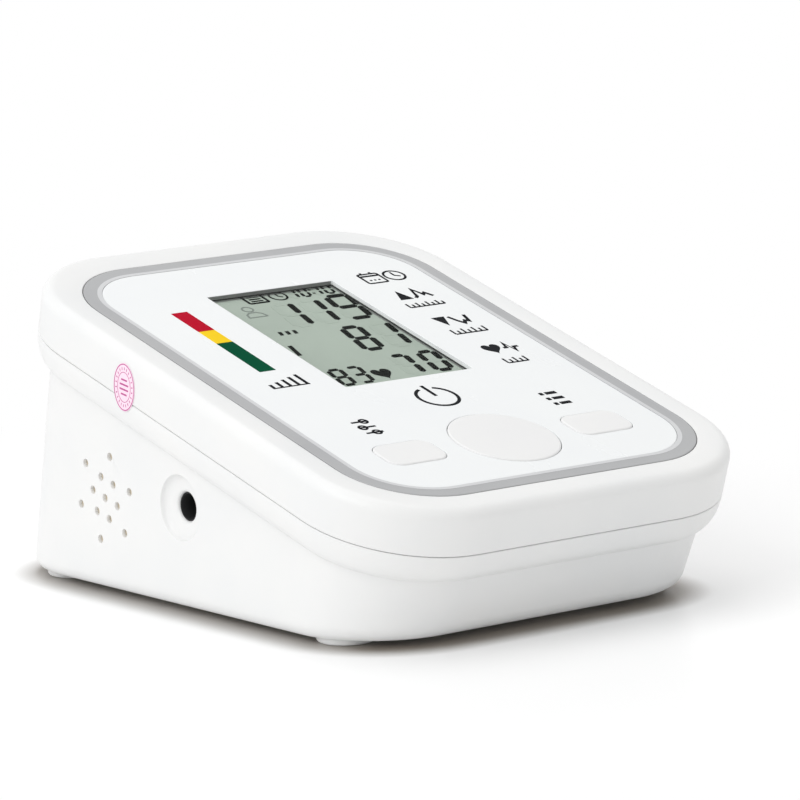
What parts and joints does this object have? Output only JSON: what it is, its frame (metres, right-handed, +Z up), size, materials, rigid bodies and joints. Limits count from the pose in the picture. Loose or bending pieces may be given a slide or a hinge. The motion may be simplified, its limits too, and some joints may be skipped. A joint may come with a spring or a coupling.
{
  "type": "blood pressure monitor console",
  "caption": "Wedge-shaped desk console of an upper-arm blood pressure monitor: sloping display and key panel, side air socket and speaker grille, battery door underneath.",
  "frame": {"origin": "middle of the overall box, on the resting surface under the feet", "axes": "+X to the user's right, +Y to the back, +Z up"},
  "size_m": [0.1001, 0.1393, 0.065],
  "materials": {
    "body_white": "gloss",
    "ring_grey": "satin",
    "panel_white": "gloss",
    "clear_pane": "gloss",
    "foam_black": "matte",
    "display_glass": "gloss",
    "key_white": "satin",
    "inner_ivory": "matte",
    "strip_pink": "matte",
    "board_green": "satin",
    "chip_black": "matte",
    "steel": "satin",
    "dark_plastic": "matte",
    "soft_black": "matte",
    "tube_clear": "satin",
    "copper_coil": "satin",
    "cell_sleeve": "satin",
    "lead_red": "satin",
    "foot_white": "matte",
    "seal_paper": "matte"
  },
  "bodies": {
    "housing": {"top_cover": "body_white", "trim_ring": "ring_grey", "face_panel": "panel_white", "window_pane": "clear_pane", "window_gasket": "foam_black", "display_glass": "display_glass", "display_frame": "inner_ivory", "contact_strips": "strip_pink", "main_board": "board_green", "board_chips": "chip_black", "wire_sockets": "inner_ivory", "board_screws": "steel", "switch_bodies": "dark_plastic", "pressure_sensor": "dark_plastic", "base_shell": "body_white", "feet": "foot_white", "case_screws": "steel", "seal_sticker": "seal_paper", "air_socket": "dark_plastic", "air_joint": "inner_ivory", "socket_tube": "tube_clear", "pump_tube": "tube_clear", "sensor_tube": "tube_clear", "valve_tube": "tube_clear", "leak_tube": "tube_clear", "leak_valve": "steel", "valve_yoke": "steel", "valve_coil": "copper_coil", "motor_can": "steel", "motor_magnet": "dark_plastic", "motor_cap": "dark_plastic", "pump_crankcase": "dark_plastic", "pump_diaphragm": "soft_black", "pump_valve_cap": "dark_plastic", "pump_dampers": "soft_black", "pump_strap": "inner_ivory", "strap_screws": "steel", "speaker_frame": "steel", "speaker_cone": "chip_black", "speaker_magnet": "steel", "battery_cells": "cell_sleeve", "battery_springs": "steel", "battery_plates": "steel", "power_inlet": "steel", "inlet_board": "board_green", "speaker_leads": "lead_red", "pump_leads": "lead_red", "valve_leads": "lead_red", "battery_leads": "lead_red"},
    "start_key": {"start_key": "key_white"},
    "set_key": {"set_key": "key_white"},
    "memory_key": {"memory_key": "key_white"},
    "start_plunger": {"start_plunger": "chip_black"},
    "set_plunger": {"set_plunger": "chip_black"},
    "memory_plunger": {"memory_plunger": "chip_black"},
    "battery_door": {"battery_door": "body_white"},
    "pump_rotor": {"pump_rotor": "steel"},
    "valve_plunger": {"valve_plunger": "steel"}
  },
  "joints": [
    {"name": "start_press", "type": "slide", "parent": "housing", "child": "start_key", "axis": [0, 0.2756, -0.9613], "range_m": [0, 0.0005], "stiffness_N_per_m": 1000},
    {"name": "set_press", "type": "slide", "parent": "housing", "child": "set_key", "axis": [0, 0.2756, -0.9613], "range_m": [0, 0.0005], "stiffness_N_per_m": 1000},
    {"name": "memory_press", "type": "slide", "parent": "housing", "child": "memory_key", "axis": [0, 0.2756, -0.9613], "range_m": [0, 0.0005], "stiffness_N_per_m": 1000},
    {"name": "start_switch", "type": "slide", "parent": "housing", "child": "start_plunger", "axis": [0, 0.2756, -0.9613], "range_m": [0, 0.0005]},
    {"name": "set_switch", "type": "slide", "parent": "housing", "child": "set_plunger", "axis": [0, 0.2756, -0.9613], "range_m": [0, 0.0005]},
    {"name": "memory_switch", "type": "slide", "parent": "housing", "child": "memory_plunger", "axis": [0, 0.2756, -0.9613], "range_m": [0, 0.0005]},
    {"name": "battery_door_hinge", "type": "hinge", "parent": "housing", "child": "battery_door", "pos_m": [0, 0.0048, 0.0029], "axis": [-1, 0, 0], "range_deg": [0, 80]},
    {"name": "pump_spin", "type": "hinge", "parent": "housing", "child": "pump_rotor", "pos_m": [0.002, 0.04, 0.034], "axis": [1, 0, 0], "continuous": true},
    {"name": "valve_pull", "type": "slide", "parent": "housing", "child": "valve_plunger", "axis": [-1, 0, 0], "range_m": [0, 0.0008], "stiffness_N_per_m": 500}
  ],
  "couplings": [
    {"joint": "start_switch", "follows": "start_press", "ratio": 1},
    {"joint": "set_switch", "follows": "set_press", "ratio": 1},
    {"joint": "memory_switch", "follows": "memory_press", "ratio": 1}
  ]
}
